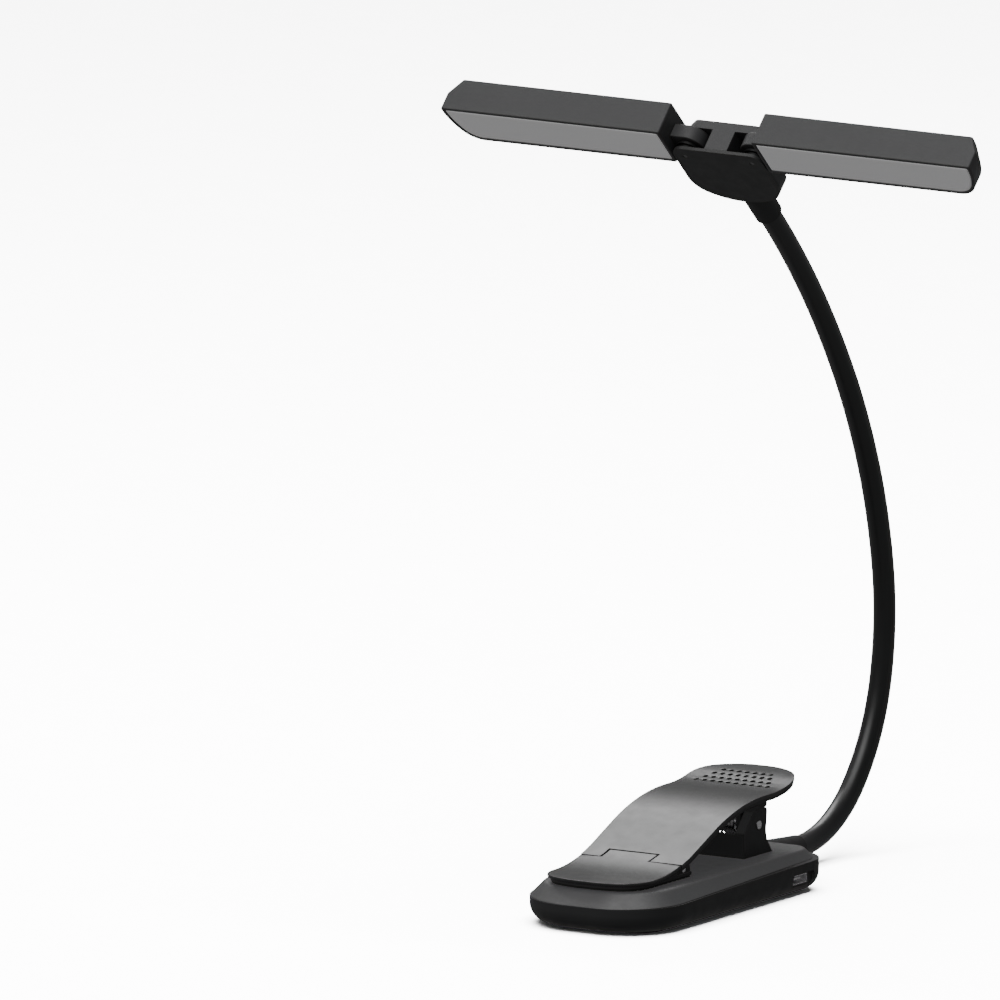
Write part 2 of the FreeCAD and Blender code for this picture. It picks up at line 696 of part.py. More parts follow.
def make_neck():
    """Seven bending links: a steel core with ball and cup ends inside a rubber sheath length."""
    for number in range(1, len(LINK_TURNS) + 1):
        radius = chain()[number - 1][3]
        gap = math.degrees(dim("sheath_gap") / radius)
        core = make_bend("core_bend_%d" % number, number, "dims.core_radius", 0.0, 0.0)
        end_ball = ball("core_ball_%d" % number, number + 1, "dims.core_radius")
        cup = ball("core_cup_%d" % number, number, "dims.cup_radius")
        joined = fuse("core_joined_%d" % number, core, end_ball)
        piece(cut("neck_core_%d" % number, joined, cup), "neck_core_%d" % number)
        outer = make_bend("sheath_outer_%d" % number, number, "dims.sheath_radius", gap, gap)
        inner = make_bend("sheath_inner_%d" % number, number, "dims.sheath_bore", gap, gap)
        piece(cut("neck_sheath_%d" % number, outer, inner), "neck_sheath_%d" % number)


def make_collar():
    """Collar at the rear of the base, the fixed core stub with the first ball, and the lock nut."""
    tail = dim("neck_along")
    wall = dim("base_length") / 2
    up = dim("neck_up")
    inner = dim("core_radius") + 0.01
    outline = rounded([(wall + 0.1, inner, 0), (tail - 0.7, inner, 0), (tail - 0.7, 4.4, 0.3),
                       (tail - 5.0, 4.7, 5), (wall + 3.0, 6.0, 3), (wall + 0.1, 6.2, 0)])
    collar = revolved("neck_collar", outline)
    collar.Placement = Placement(Vector(0, 0, up), Rotation())
    stub = rod("root_stub", "dims.core_radius", tail - wall + 9.0, (0, wall - 9.0, "dims.neck_up"), "y")
    knob = ball("root_ball", 1, "dims.core_radius")
    piece(fuse("neck_root_core", stub, knob), "neck_root_core")
    nut_outside = primitive("Prism", "nut_outside", {"Polygon": 6, "Circumradius": 4.7, "Height": 3.0},
                            (0, wall - 8.0, "dims.neck_up"), ((1, 0, 0), -90))
    nut_bore = rod("nut_bore", 3.01, 8.0, (0, wall - 10.0, "dims.neck_up"), "y")
    piece(cut("neck_lock_nut", nut_outside, nut_bore), "neck_lock_nut")


# ---------------------------------------------------------------- hub and light bars
def hub_frame():
    """Placement of everything drawn upright in the hub's own frame."""
    spot = Vector(0, dim("hub_along"), dim("hub_up"))
    return Placement(spot, Rotation(Vector(1, 0, 0), dim("hub_tilt")))


def bar_outline(side, bevel=0.0, wall=0.0):
    """Front view of a light bar in the hub frame, moved in by a bevel on its outer side and end
    and by a wall all round."""
    mate = dim("bar_width") - dim("hinge_down") - 4.4
    inner = dim("hub_half_width") + 0.6
    reach = dim("bar_end_radius") - bevel - wall
    corner = dim("bar_corner") - bevel - wall
    centre = inner + dim("bar_length") - dim("bar_end_radius")
    low = mate - dim("bar_width") + bevel + wall
    top = mate - wall
    across = top + wall - low - corner
    knee = centre + math.sqrt((reach - corner) ** 2 - across ** 2)
    start = math.degrees(math.asin(-wall / reach))
    meet = math.degrees(math.atan2(-across, knee - centre))
    end_x = centre + reach * math.cos(math.radians(start))
    spots = [Part.LineSegment(Vector(inner + wall, top, 0), Vector(end_x, top, 0)),
             arc((centre, mate), reach, start, meet),
             arc((knee, low + corner), corner, meet, -90.0),
             Part.LineSegment(Vector(knee, low, 0), Vector(inner + wall, low, 0)),
             Part.LineSegment(Vector(inner + wall, low, 0), Vector(inner + wall, top, 0))]
    if side > 0:
        return spots
    return [mirrored(curve) for curve in spots]


def mirrored(curve):
    """Copy of a sketch curve with x changed to -x."""
    flip = FreeCAD.Matrix()
    flip.A11 = -1
    first = curve.value(curve.FirstParameter)
    middle = curve.value(0.5 * (curve.FirstParameter + curve.LastParameter))
    last = curve.value(curve.LastParameter)
    spots = [flip.multiply(spot) for spot in (first, middle, last)]
    if isinstance(curve, Part.LineSegment):
        return Part.LineSegment(spots[0], spots[2])
    return Part.Arc(*spots)


def lug_outline(side):
    """Front view of the hinge lug: a disc about the pivot with a bar into the light bar's end."""
    x = dim("hinge_out")
    z = -dim("hinge_down")
    radius = dim("lug_radius")
    end = dim("hub_half_width") + 0.6 + 0.5
    low = z - 4.4
    touch = math.degrees(math.asin(-4.4 / radius)) + 360.0
    meet = x + radius * math.cos(math.radians(touch))
    spots = [Part.LineSegment(Vector(end, z + radius, 0), Vector(x, z + radius, 0)),
             arc((x, z), radius, 90.0, touch),
             Part.LineSegment(Vector(meet, low, 0), Vector(end, low, 0)),
             Part.LineSegment(Vector(end, low, 0), Vector(end, z + radius, 0))]
    return spots if side > 0 else [mirrored(curve) for curve in spots]


def bar_centre():
    """Middle of the bar's flat back across its width, and where its button sits along it."""
    mate = dim("bar_width") - dim("hinge_down") - 4.4
    low = mate - dim("bar_width") + dim("bevel_inset")
    return 82.0, 0.5 * (mate + low)


def make_bar(side, word):
    """Shell, diffuser, LED board, LEDs, switch and button of one light bar."""
    place = hub_frame()
    depth = "dims.bar_depth"
    shell = new_body("head_shell_" + word)
    pad(shell, sketch(shell, "XZ_Plane", bar_outline(side)), "dims.bevel_start", reverse=True)
    lower = sketch(shell, "XZ_Plane", bar_outline(side), "-dims.bevel_start")
    upper = sketch(shell, "XZ_Plane", bar_outline(side, dim("bevel_inset")), "-dims.bar_depth")
    loft(shell, lower, upper)
    pocket(shell, sketch(shell, "XZ_Plane", bar_outline(side, 0, 1.1), "0"), "2.3")
    pocket(shell, sketch(shell, "XZ_Plane", bar_outline(side, 0, 2.0), "0"), "dims.bevel_start")
    pocket(shell, sketch(shell, "XZ_Plane", bar_outline(side, 2.8, 2.0), "0"), "dims.bar_depth - 1.6")
    x, z = bar_centre()
    x *= side
    dish = rectangle(x - 8.0, z - 4.2, x + 8.0, z + 4.2, 3.2)
    pocket(shell, sketch(shell, "XZ_Plane", dish, "-20"), "20 - dims.bar_depth + 0.5", reverse=True)
    hole = rectangle(x - 7.3, z - 3.55, x + 7.3, z + 3.55, 2.4)
    pocket(shell, sketch(shell, "XZ_Plane", hole, "-20"), "20 - dims.bar_depth + 3", reverse=True)
    lug = sketch(shell, "XZ_Plane", lug_outline(side), "-dims.lug_front")
    pad(shell, lug, "dims.lug_back - dims.lug_front", reverse=True)
    bore = circle(side * dim("hinge_out"), -dim("hinge_down"), dim("hinge_pin_radius") + dim("pin_play"))
    pocket(shell, sketch(shell, "XZ_Plane", bore, "0"), "20")
    shell.Placement = place

    lens = new_body("diffuser_" + word)
    pad(lens, sketch(lens, "XZ_Plane", bar_outline(side, 0, 1.2), "-0.4"), "1.9", reverse=True)
    lens.Placement = place

    board = new_body("led_board_" + word)
    rear = sketch(board, "XZ_Plane", bar_outline(side, 0, 2.3), "-dims.bevel_start + 1.2")
    pad(board, rear, "1.2", reverse=True)
    board.Placement = place

    chips = []
    for index in range(12):
        start = side * (27.0 + index * 6.2) - 1.4
        for line, level in enumerate((-5.5, 1.5)):
            spot = (start, "dims.bevel_start - 1.2 - 0.9", level)
            chips.append(box("led_%s_%d_%d" % (word, index, line), (2.8, 0.9, 3.0), spot))
    leds = piece(group("leds_" + word, *chips), "leds_" + word)
    leds.Placement = place

    switch = box("switch_case_" + word, (6.0, 1.9, 3.6), (x - 3.0, "dims.bevel_start + 0.0", z - 1.8))
    holder = fuse("switch_solid_" + word, switch,
                  box("switch_stem_" + word, (2.0, 0.5, 2.0), (x - 1.0, "dims.bevel_start + 1.8", z - 1.0)))
    piece(holder, "switch_" + word).Placement = place

    button = new_body("button_" + word)
    cap = rectangle(x - 7.0, z - 3.25, x + 7.0, z + 3.25, 2.1)
    pad(button, sketch(button, "XZ_Plane", cap, "-dims.bar_depth + 2.0"), "2.2", reverse=True)
    flange = rectangle(x - 7.8, z - 4.1, x + 7.8, z + 4.1, 2.6)
    pad(button, sketch(button, "XZ_Plane", flange, "-dims.bar_depth + 2.5"), "0.6", reverse=True)
    stem = rectangle(x - 1.2, z - 1.2, x + 1.2, z + 1.2)
    pad(button, sketch(button, "XZ_Plane", stem, "-dims.bar_depth + 3.1"), "0.7", reverse=True)
    button.Placement = place


def hub_outline(bevel=0.0, wall=0.0):
    """Front view of the hub: round shoulders at the hinge pins, straight sides, a bowed bottom."""
    half = dim("hub_half_width") - bevel - wall
    shoulder = dim("hinge_down") - wall
    corner = dim("hub_corner") - bevel - wall
    bow = dim("bar_end_radius") - bevel - wall
    centre = -dim("hub_depth") + dim("bar_end_radius")
    out = half - corner
    down = math.sqrt((bow - corner) ** 2 - out ** 2)
    meet = math.degrees(math.atan2(-down, out))
    low = centre - down
    top = -wall
    right = [Part.LineSegment(Vector(half - shoulder, top, 0), Vector(shoulder - half, top, 0)),
             arc((shoulder - half, top - shoulder), shoulder, 90.0, 180.0),
             Part.LineSegment(Vector(-half, top - shoulder, 0), Vector(-half, low, 0)),
             arc((-out, low), corner, 180.0, 180.0 - meet),
             arc((0, centre), bow, 180.0 - meet, 360.0 + meet),
             arc((out, low), corner, meet, 0.0),
             Part.LineSegment(Vector(half, low, 0), Vector(half, top - shoulder, 0)),
             arc((half - shoulder, top - shoulder), shoulder, 0.0, 90.0)]
    return right


def make_hub():
    """Rear shell with the hinge slots, front cover, screws, hinge pins, washers and neck sleeve."""
    place = hub_frame()
    shell = new_body("hub_rear_shell")
    cover = "dims.cover_thickness"
    first = sketch(shell, "XZ_Plane", hub_outline(), "-dims.cover_thickness")
    pad(shell, first, "dims.bevel_start - dims.cover_thickness", reverse=True)
    lower = sketch(shell, "XZ_Plane", hub_outline(), "-dims.bevel_start")
    upper = sketch(shell, "XZ_Plane", hub_back_outline(), "-dims.bar_depth")
    loft(shell, lower, upper)
    floor = -dim("hinge_down") - dim("lug_radius") - 0.8
    for side in (-1, 1):
        slot = rounded([(side * 4.6, 5.0, 0), (side * 4.6, floor, 3.0), (side * 30.0, floor, 0),
                        (side * 30.0, 5.0, 0)])
        pocket(shell, sketch(shell, "XZ_Plane", slot, "0"), "dims.lug_back + 0.25")
        bore = circle(side * dim("hinge_out"), -dim("hinge_down"), dim("hinge_pin_radius"))
        pocket(shell, sketch(shell, "XZ_Plane", bore, "0"), "dims.bar_depth - 1.0")
    room = rectangle(-8.5, -26.5, 8.5, -14.5, 2.0)
    pocket(shell, sketch(shell, "XZ_Plane", room, "0"), "dims.bar_depth - 2.6")
    way = circle(0, dim("bar_depth") / 2, dim("sleeve_radius") + 0.02)
    pocket(shell, sketch(shell, "XY_Plane", way, "-50"), "50 - dims.hub_depth + 5.0", reverse=True)
    shell.Placement = place

    front = new_body("hub_front_cover")
    pad(front, sketch(front, "XZ_Plane", hub_outline(), "0"), cover + " - 0.02", reverse=True)
    for side in (-1, 1):
        x = side * dim("hinge_out")
        z = -dim("hinge_down")
        pocket(front, sketch(front, "XZ_Plane", circle(x, z, 0.9), "0"), "0.8")
        pocket(front, sketch(front, "XZ_Plane", circle(x, z, 0.52), "0"), "5")
    front.Placement = place

    screws = []
    for index, side in enumerate((-1, 1)):
        x = "%d * dims.hinge_out" % side
        head = rod("cover_head_%d" % index, 0.85, 0.6, (x, 0.15, "-dims.hinge_down"), "y")
        shank = rod("cover_shank_%d" % index, 0.5, 3.4, (x, 0.5, "-dims.hinge_down"), "y")
        screws.append(fuse("cover_screw_%d" % index, head, shank))
    piece(group("hub_screws", *screws), "hub_screws").Placement = place

    for side, word in ((-1, "left"), (1, "right")):
        x = "%d * dims.hinge_out" % side
        length = "dims.bar_depth - 1.0 - dims.cover_thickness"
        shaft = rod("hinge_shaft_" + word, "dims.hinge_pin_radius", length,
                    (x, "dims.cover_thickness", "-dims.hinge_down"), "y")
        head = rod("hinge_head_" + word, 3.4, 1.3, (x, "dims.cover_thickness + 0.1", "-dims.hinge_down"), "y")
        bore = rod("hinge_bore_" + word, 0.5, 3.5, (x, 0.6, "-dims.hinge_down"), "y")
        turned = fuse("hinge_turned_" + word, shaft, head)
        piece(cut("hinge_pin_" + word, turned, bore), "hinge_pin_" + word).Placement = place
        ring = rod("washer_ring_" + word, 4.4, 0.9,
                   (x, "dims.cover_thickness + 1.5", "-dims.hinge_down"), "y")
        hole = rod("washer_hole_" + word, 1.62, 2.0,
                   (x, "dims.cover_thickness + 1.0", "-dims.hinge_down"), "y")
        piece(cut("hinge_washer_" + word, ring, hole), "hinge_washer_" + word).Placement = place

    axis = "dims.bar_depth / 2"
    reach = sleeve_length()
    start = -dim("hub_depth") - reach
    body = rod("sleeve_body", "dims.sleeve_radius", reach - 0.7 + 4.8, (0, axis, start + 0.7))
    passage = rod("sleeve_passage", 1.6, reach + 10.0, (0, axis, start))
    cup = primitive("Sphere", "sleeve_cup", {"Radius": "dims.cup_radius"}, (0, axis, start))
    piece(cut("neck_sleeve", body, passage, cup), "neck_sleeve").Placement = place


def hub_back_outline():
    """The hub outline with the bevel on its sides and bottom but not on its end face."""
    bevel = dim("bevel_inset")
    half = dim("hub_half_width") - bevel
    shoulder = dim("hinge_down") - 1.5
    corner = dim("hub_corner") - bevel
    bow = dim("bar_end_radius") - bevel
    centre = -dim("hub_depth") + dim("bar_end_radius")
    out = half - corner
    down = math.sqrt((bow - corner) ** 2 - out ** 2)
    meet = math.degrees(math.atan2(-down, out))
    low = centre - down
    return [Part.LineSegment(Vector(half - shoulder, 0, 0), Vector(shoulder - half, 0, 0)),
            arc((shoulder - half, -shoulder), shoulder, 90.0, 180.0),
            Part.LineSegment(Vector(-half, -shoulder, 0), Vector(-half, low, 0)),
            arc((-out, low), corner, 180.0, 180.0 - meet),
            arc((0, centre), bow, 180.0 - meet, 360.0 + meet),
            arc((out, low), corner, meet, 0.0),
            Part.LineSegment(Vector(half, low, 0), Vector(half, -shoulder, 0)),
            arc((half - shoulder, -shoulder), shoulder, 0.0, 90.0)]


def sleeve_length():
    """Distance from the hub's bottom to the last neck joint, along the sleeve."""
    y, z = chain()[-1][:2]
    inside = hub_frame().inverse().multVec(Vector(0, y, z))
    return -inside.z - dim("hub_depth")


def check_and_export():
    """Refuse failed features and broken shapes, then write one file for each sub-part."""
    doc.recompute()
    for item in doc.Objects:
        if "Invalid" in item.State or "Error" in item.State:
            raise RuntimeError("failed: %s %s" % (item.Label, item.State))
    os.makedirs("parts", exist_ok=True)
    for item in PIECES:
        shape = item.Shape
        if shape.isNull() or not shape.isValid() or not shape.Solids:
            raise RuntimeError("bad shape: " + item.Label)
        shape.exportStep("parts/%s.step" % item.Label)
        print("%-20s solids %d volume %9.1f" % (item.Label, len(shape.Solids), shape.Volume))
    print("sub-parts:", len(PIECES))


make_lower_shell()
make_upper_shell()
make_tower()
make_base_details()
make_spring()
make_lever_plate()
make_jaw_cap()
make_lever_frame()
make_jaw()
make_neck()
make_collar()
make_hub()
for hand, word in ((-1, "left"), (1, "right")):
    make_bar(hand, word)
check_and_export()
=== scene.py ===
"""Looks of a clip-on reading lamp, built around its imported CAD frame.

The lamp has a flat base with a spring clip, a bending neck, a hub and two light bars that fold.
Sizes are in millimetres in the classes and turned to metres when a mesh is made.
"""
import json
import logging
import math
from collections.abc import Sequence
from dataclasses import dataclass, field
from enum import Enum

import bmesh
import bpy
import numpy as np
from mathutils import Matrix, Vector


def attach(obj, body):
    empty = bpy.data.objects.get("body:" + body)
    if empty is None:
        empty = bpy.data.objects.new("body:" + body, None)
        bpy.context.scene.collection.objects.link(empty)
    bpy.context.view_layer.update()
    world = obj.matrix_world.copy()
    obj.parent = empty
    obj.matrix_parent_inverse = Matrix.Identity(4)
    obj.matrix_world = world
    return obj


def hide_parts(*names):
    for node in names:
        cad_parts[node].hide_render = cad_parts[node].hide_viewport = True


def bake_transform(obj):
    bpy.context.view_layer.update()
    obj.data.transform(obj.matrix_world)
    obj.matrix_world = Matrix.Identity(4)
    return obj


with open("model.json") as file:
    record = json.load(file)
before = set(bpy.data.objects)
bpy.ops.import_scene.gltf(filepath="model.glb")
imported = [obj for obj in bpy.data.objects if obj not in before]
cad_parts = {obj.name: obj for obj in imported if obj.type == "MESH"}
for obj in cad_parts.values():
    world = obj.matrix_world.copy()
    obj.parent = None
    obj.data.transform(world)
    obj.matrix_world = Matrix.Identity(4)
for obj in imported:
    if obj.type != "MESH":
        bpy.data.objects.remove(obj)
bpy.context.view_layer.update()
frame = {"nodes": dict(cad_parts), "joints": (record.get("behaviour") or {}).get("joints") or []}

MM = 0.001
LOG = logging.getLogger("reading_lamp")
CLOUD_SCALE = 60.0
SMEAR_SCALE = 220.0
SMEAR_RANGE = (0.3, 0.7)


class Side(Enum):
    """The two light bars, by the sign of x on their side of the hub."""

    LEFT = -1
    RIGHT = 1

    @property
    def word(self) -> str:
        """Lower-case name used in node names."""
        return self.name.lower()


# ---------------------------------------------------------------- curves and skins
def soften(stations: Sequence[Sequence[float]], radii: Sequence[float], steps: int = 5) -> np.ndarray:
    """Round the inner corners of an open path.

    Each corner C with radius r gives way to the quadratic arc (1-t)^2 S + 2t(1-t) C + t^2 E, where S
    and E lie r before and after C, with one more station a fifth of r outside each end.

    Args:
        stations: corners of the path, any number of coordinates each.
        radii: one radius for each corner; the first and last are not used.
        steps: stations on each arc.

    Returns:
        The stations of the rounded path, one row each.
    """
    path = np.asarray(stations, float)
    t = np.linspace(0.0, 1.0, steps)[:, None]
    rows = [path[:1]]
    for before, corner, after, radius in zip(path, path[1:], path[2:], radii[1:]):
        if radius <= 0:
            rows.append(corner[None])
            continue
        back = (before - corner) / np.linalg.norm(before - corner)
        ahead = (after - corner) / np.linalg.norm(after - corner)
        start = corner + back * radius
        end = corner + ahead * radius
        bend = (1 - t) ** 2 * start + 2 * t * (1 - t) * corner + t ** 2 * end
        rows += [(start + back * radius * 0.2)[None], bend, (end + ahead * radius * 0.2)[None]]
    rows.append(path[-1:])
    return np.vstack(rows)


def arc_points(centre: Sequence[float], radius: float, start: float, end: float, count: int) -> np.ndarray:
    """Points centre + radius (cos a, sin a) for angles a spread evenly from start to end, in radians."""
    angle = np.linspace(start, end, count)
    return np.stack([centre[0] + radius * np.cos(angle), centre[1] + radius * np.sin(angle)], 1)


def rounded_loop(corners: Sequence[Sequence[float]], steps: int, straight: int) -> np.ndarray:
    """Closed loop through (x, y, radius) corners: tangent arcs joined by evenly divided straight runs."""
    spots = np.array([corner[:2] for corner in corners], float)
    runs = []
    for here, before, after, corner in zip(spots, np.roll(spots, 1, 0), np.roll(spots, -1, 0), corners):
        back = (before - here) / np.linalg.norm(before - here)
        ahead = (after - here) / np.linalg.norm(after - here)
        half = 0.5 * math.acos(float(np.clip(back @ ahead, -1, 1)))
        radius = max(corner[2], 1e-3)
        middle = (back + ahead) / np.linalg.norm(back + ahead)
        centre = here + middle * radius / math.sin(half)
        start = here + back * radius / math.tan(half) - centre
        end = here + ahead * radius / math.tan(half) - centre
        first = math.atan2(start[1], start[0])
        turn = (math.atan2(end[1], end[0]) - first + math.pi) % (2 * math.pi) - math.pi
        runs.append(arc_points(centre, radius, first, first + turn, steps))
    loop = []
    share = np.linspace(0.0, 1.0, straight + 2)[1:-1, None]
    for run, following in zip(runs, runs[1:] + runs[:1]):
        loop += [run, run[-1] + share * (following[0] - run[-1])]
    return np.vstack(loop)


def new_object(name: str, spots: np.ndarray, faces: list[list[int]],
               crease: float = 32.0) -> bpy.types.Object:
    """Mesh object from vertices in metres, with normals outward and edges sharper than crease left sharp.

    Args:
        name: object and mesh name.
        spots: vertices, one row each, in metres in the row frame.
        faces: vertex numbers of each face.
        crease: angle in degrees above which an edge stays sharp.

    Returns:
        The object, linked to the scene.
    """
    mesh = bpy.data.meshes.new(name)
    mesh.from_pydata(spots.tolist(), [], faces)
    work = bmesh.new()
    work.from_mesh(mesh)
    bmesh.ops.recalc_face_normals(work, faces=work.faces)
    work.to_mesh(mesh)
    work.free()
    mesh.shade_smooth()
    mesh.set_sharp_from_angle(angle=math.radians(crease))
    made = bpy.data.objects.new(name, mesh)
    bpy.context.scene.collection.objects.link(made)
    return made


def grid_faces(rows: int, columns: int, wrap_rows: bool = False) -> np.ndarray:
    """Quads of a grid whose columns close on themselves, and whose rows do too if asked."""
    last = rows if wrap_rows else rows - 1
    row, column = np.meshgrid(np.arange(last), np.arange(columns), indexing="ij")
    row, column = row.ravel(), column.ravel()
    next_row = (row + 1) % rows
    next_column = (column + 1) % columns
    return np.stack([row * columns + column, row * columns + next_column,
                     next_row * columns + next_column, next_row * columns + column], 1)


def skin(name: str, rings: np.ndarray, crease: float = 32.0) -> bpy.types.Object:
    """Closed skin over a stack of loops, capped with one face at each end.

    Args:
        name: object name.
        rings: array (loops, points, 3) in metres.
        crease: angle in degrees above which an edge stays sharp.

    Returns:
        The object.
    """
    count, around = rings.shape[:2]
    faces = grid_faces(count, around).tolist()
    faces.append(list(range(around)))
    faces.append(list(range((count - 1) * around, count * around)))
    return new_object(name, rings.reshape(-1, 3), faces, crease)


# ---------------------------------------------------------------- finishes
@dataclass(frozen=True)
class Finish:
    """Moulded, rubber or metal surface: a colour with slow variation, uneven roughness and a grain in bump.

    The colour is dark + (light - dark) n, where n is a slow noise, and the height that the bump reads
    is a fine noise. Roughness runs between two values by a third noise. Slot names the record's material
    and is not used.
    """

    name: str
    dark: tuple[float, float, float]
    light: tuple[float, float, float]
    rough: tuple[float, float] = (0.45, 0.6)
    metal: float = 0.0
    specular: float = 0.25
    grain: float = 5200.0
    depth: float = 0.00002
    strength: float = 0.35
    coat: float = 0.0
    coat_rough: float = 0.3
    sheen: float = 0.0
    stretch: tuple[float, float, float] = (1.0, 1.0, 1.0)
    slot: str = "shell_black"

    def material(self) -> bpy.types.Material:
        """Node material of this finish, made once and kept by its name."""
        found = bpy.data.materials.get(self.name)
        if found:
            return found
        made = bpy.data.materials.new(self.name)
        made.use_nodes = True
        tree = made.node_tree
        shader = tree.nodes["Principled BSDF"]
        shader.inputs["Metallic"].default_value = self.metal
        shader.inputs["Specular IOR Level"].default_value = self.specular
        shader.inputs["Coat Weight"].default_value = self.coat
        shader.inputs["Coat Roughness"].default_value = self.coat_rough
        shader.inputs["Sheen Weight"].default_value = self.sheen
        place = tree.nodes.new("ShaderNodeTexCoord").outputs["Object"]
        if self.stretch != (1.0, 1.0, 1.0):
            mapping = tree.nodes.new("ShaderNodeMapping")
            mapping.inputs["Scale"].default_value = self.stretch
            tree.links.new(place, mapping.inputs["Vector"])
            place = mapping.outputs["Vector"]
        slow = self.noise(tree, place, CLOUD_SCALE, 3.0)
        mixed = tree.nodes.new("ShaderNodeMix")
        mixed.data_type = "RGBA"
        tree.links.new(slow, mixed.inputs["Factor"])
        mixed.inputs["A"].default_value = (*self.dark, 1.0)
        mixed.inputs["B"].default_value = (*self.light, 1.0)
        tree.links.new(mixed.outputs["Result"], shader.inputs["Base Color"])
        smear = self.noise(tree, place, SMEAR_SCALE, 2.0)
        spread = tree.nodes.new("ShaderNodeMapRange")
        limits = dict(zip(("From Min", "From Max", "To Min", "To Max"), SMEAR_RANGE + self.rough))
        for socket, value in limits.items():
            spread.inputs[socket].default_value = value
        tree.links.new(smear, spread.inputs["Value"])
        tree.links.new(spread.outputs["Result"], shader.inputs["Roughness"])
        fine = self.noise(tree, place, self.grain, 2.0)
        bump = tree.nodes.new("ShaderNodeBump")
        bump.inputs["Strength"].default_value = self.strength
        bump.inputs["Distance"].default_value = self.depth
        tree.links.new(fine, bump.inputs["Height"])
        tree.links.new(bump.outputs["Normal"], shader.inputs["Normal"])
        return made

    @staticmethod
    def noise(tree: bpy.types.NodeTree, place: bpy.types.NodeSocket, scale: float,
              detail: float) -> bpy.types.NodeSocket:
        """Value output of a noise texture over a place, with features 1/scale metres apart."""
        node = tree.nodes.new("ShaderNodeTexNoise")
        node.inputs["Scale"].default_value = scale
        node.inputs["Detail"].default_value = detail
        tree.links.new(place, node.inputs["Vector"])
        return node.outputs["Fac"]

    def dress(self, *things: bpy.types.Object) -> None:
        """Give every slot of these objects this finish."""
        for thing in things:
            if not thing.material_slots:
                thing.data.materials.append(self.material())
            for slot in thing.material_slots:
                slot.material = self.material()


COVER_GREY = Finish("moulded_cover_grey", (0.036, 0.036, 0.037), (0.041, 0.041, 0.042), (0.42, 0.52),
                    grain=6500.0, depth=0.00003, slot="cover_grey")
# Darker copy of the cover grey for the hub's front cover, the same plastic: it paints the shade that falls on
# that down-facing face.
COVER_GREY_PAINTED_SHADE = Finish("moulded_cover_grey_painted_shade", (0.021, 0.021, 0.0215), (0.025, 0.025, 0.0255), (0.42, 0.52),
                    grain=6500.0, depth=0.00003, slot="cover_grey")
RIM_BLACK = Finish("moulded_rim_black", (0.006, 0.006, 0.0063), (0.009, 0.009, 0.0094), (0.4, 0.5),
                   specular=0.15, grain=6500.0)
SHELL_BLACK = Finish("moulded_shell_black", (0.027, 0.027, 0.0275), (0.031, 0.031, 0.0315), (0.42, 0.55),
                     specular=0.12, grain=5200.0)
LEVER_GREY = Finish("painted_lever_grey", (0.015, 0.015, 0.0154), (0.0185, 0.0185, 0.019), (0.30, 0.36),
                    specular=0.28, grain=4200.0, depth=0.00002, slot="lever_grey")
DIFFUSER = Finish("frosted_diffuser", (0.90, 0.90, 0.905), (0.93, 0.93, 0.935), (0.32, 0.4), grain=9000.0,
                  depth=0.00001, strength=0.2, slot="diffuser")
NECK_RUBBER = Finish("neck_rubber", (0.003, 0.003, 0.0032), (0.0045, 0.0045, 0.0048), (0.30, 0.40),
                     specular=0.45, grain=3800.0, depth=0.00002, sheen=0.05, slot="rubber_black")
PAD_RUBBER = Finish("pad_rubber", (0.008, 0.008, 0.008), (0.014, 0.014, 0.014), (0.7, 0.85), grain=3000.0,
                    depth=0.00006, strength=0.6)
PIN_STEEL = Finish("turned_steel", (0.50, 0.50, 0.51), (0.62, 0.62, 0.63), (0.22, 0.36), metal=1.0,
                   grain=2600.0, depth=0.00001, stretch=(1.0, 6.0, 6.0))
SCREW_STEEL = Finish("blackened_screw_steel", (0.10, 0.10, 0.10), (0.16, 0.16, 0.165), (0.3, 0.45), metal=1.0,
                     grain=3000.0)
BOARD_GREEN = Finish("solder_mask_green", (0.01, 0.09, 0.035), (0.02, 0.13, 0.05), (0.25, 0.4),
                     grain=2500.0, coat=0.3)
BOARD_WHITE = Finish("solder_mask_white", (0.62, 0.62, 0.6), (0.7, 0.7, 0.68), (0.3, 0.45),
                     grain=2500.0, coat=0.2)
CHIP_BLACK = Finish("moulded_epoxy", (0.012, 0.012, 0.012), (0.022, 0.022, 0.022), (0.5, 0.7), grain=7000.0)
LED_GEL = Finish("phosphor_gel", (0.72, 0.6, 0.16), (0.82, 0.72, 0.26), (0.2, 0.35), grain=5000.0, coat=0.4)
POUCH_FOIL = Finish("pouch_foil", (0.42, 0.42, 0.44), (0.55, 0.55, 0.57), (0.25, 0.4), metal=0.9, grain=900.0,
                    depth=0.0001)
LEAD_RED = Finish("lead_insulation", (0.32, 0.012, 0.012), (0.42, 0.02, 0.02), (0.35, 0.5), grain=3000.0)
FLOOR_PAINT = Finish("pale_floor", (0.86, 0.86, 0.86), (0.9, 0.9, 0.9), (0.6, 0.75), grain=400.0,
                     strength=0.05)

NODE_FINISHES: dict[str, Finish] = {
    "base_upper_shell": COVER_GREY, "head_shell": COVER_GREY, "hub_rear_shell": COVER_GREY,
    # The hub's front cover takes the darker cover grey, which paints the shade of its down-facing face.
    "hub_front_cover": COVER_GREY_PAINTED_SHADE,
    "lever_plate": LEVER_GREY, "jaw_cap": LEVER_GREY, "diffuser": DIFFUSER,
    "jaw_rubber": PAD_RUBBER, "base_pad": PAD_RUBBER, "neck_sheath": NECK_RUBBER,
    "clip_pivot_pin": PIN_STEEL, "jaw_pin": PIN_STEEL, "clip_spring": PIN_STEEL, "usb_inlet": PIN_STEEL,
    "neck_lock_nut": PIN_STEEL, "ballast_plate": PIN_STEEL, "hinge_": RIM_BLACK, "neck_core": PIN_STEEL,
    "neck_root_core": PIN_STEEL, "base_screws": SCREW_STEEL, "hub_screws": SCREW_STEEL,
    "charge_board": BOARD_GREEN, "led_board": BOARD_WHITE, "charge_chips": CHIP_BLACK, "switch": CHIP_BLACK,
    "leds": LED_GEL, "battery": POUCH_FOIL, "power_leads": LEAD_RED,
}


